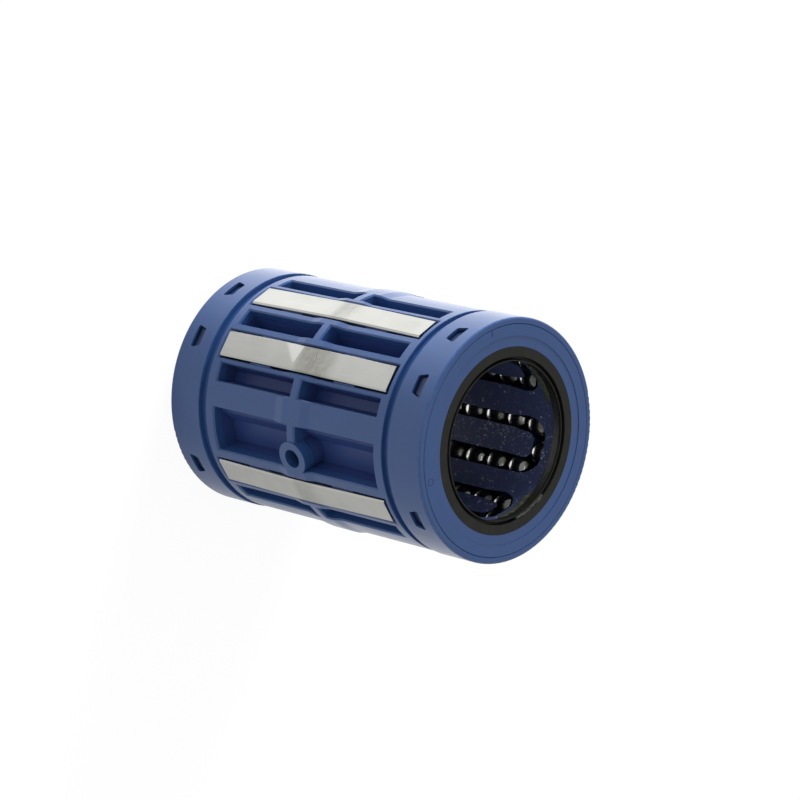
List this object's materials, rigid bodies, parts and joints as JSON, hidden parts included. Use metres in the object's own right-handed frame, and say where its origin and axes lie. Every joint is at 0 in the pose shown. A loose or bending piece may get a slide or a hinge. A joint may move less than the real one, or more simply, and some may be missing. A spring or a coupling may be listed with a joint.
{
  "type": "linear ball bushing",
  "caption": "Closed self-aligning linear ball bushing: blue moulded sleeve with rocking steel raceway plates, recirculating balls and a wiper seal at each end.",
  "frame": {"origin": "on the shaft axis in the plane of the rear end face, on which the bushing stands", "axes": "+Z along the shaft axis from the rear face to the front face; the locating hole points to -Y"},
  "size_m": [0.047, 0.047, 0.068],
  "materials": {
    "blue_moulding": "satin moulded acetal",
    "cage_moulding": "satin moulded acetal",
    "ground_steel": "ground",
    "ball_steel": "polished",
    "seal_rubber": "matt"
  },
  "bodies": {
    "housing_part": {"outer_sleeve": "blue_moulding", "inner_cage": "cage_moulding", "end_cap_front": "blue_moulding", "end_cap_rear": "blue_moulding", "seal_front": "seal_rubber", "seal_rear": "seal_rubber", "load_balls_1": "ball_steel", "load_balls_2": "ball_steel", "load_balls_3": "ball_steel", "load_balls_4": "ball_steel", "load_balls_5": "ball_steel", "load_balls_6": "ball_steel", "return_balls_1": "ball_steel", "return_balls_2": "ball_steel", "return_balls_3": "ball_steel", "return_balls_4": "ball_steel", "return_balls_5": "ball_steel", "return_balls_6": "ball_steel"},
    "plate_1": {"raceway_plate_1": "ground_steel"},
    "plate_2": {"raceway_plate_2": "ground_steel"},
    "plate_3": {"raceway_plate_3": "ground_steel"},
    "plate_4": {"raceway_plate_4": "ground_steel"},
    "plate_5": {"raceway_plate_5": "ground_steel"},
    "plate_6": {"raceway_plate_6": "ground_steel"}
  },
  "joints": [
    {"name": "plate_rock_1", "type": "hinge", "parent": "housing_part", "child": "plate_1", "pos_m": [-0.02305, -0.00456, 0.034], "axis": [0.1942, -0.981, 0], "range_deg": [-0.5, 0.5]},
    {"name": "plate_rock_2", "type": "hinge", "parent": "housing_part", "child": "plate_2", "pos_m": [-0.01738, -0.01582, 0.034], "axis": [0.673, -0.7396, 0], "range_deg": [-0.5, 0.5]},
    {"name": "plate_rock_3", "type": "hinge", "parent": "housing_part", "child": "plate_3", "pos_m": [0.00738, -0.02231, 0.034], "axis": [0.9494, 0.314, 0], "range_deg": [-0.5, 0.5]},
    {"name": "plate_rock_4", "type": "hinge", "parent": "housing_part", "child": "plate_4", "pos_m": [0.02286, -0.00545, 0.034], "axis": [0.2317, 0.9728, 0], "range_deg": [-0.5, 0.5]},
    {"name": "plate_rock_5", "type": "hinge", "parent": "housing_part", "child": "plate_5", "pos_m": [0.01682, 0.01641, 0.034], "axis": [-0.6984, 0.7157, 0], "range_deg": [-0.5, 0.5]},
    {"name": "plate_rock_6", "type": "hinge", "parent": "housing_part", "child": "plate_6", "pos_m": [-0.01603, 0.01719, 0.034], "axis": [-0.7314, -0.682, 0], "range_deg": [-0.5, 0.5]}
  ]
}
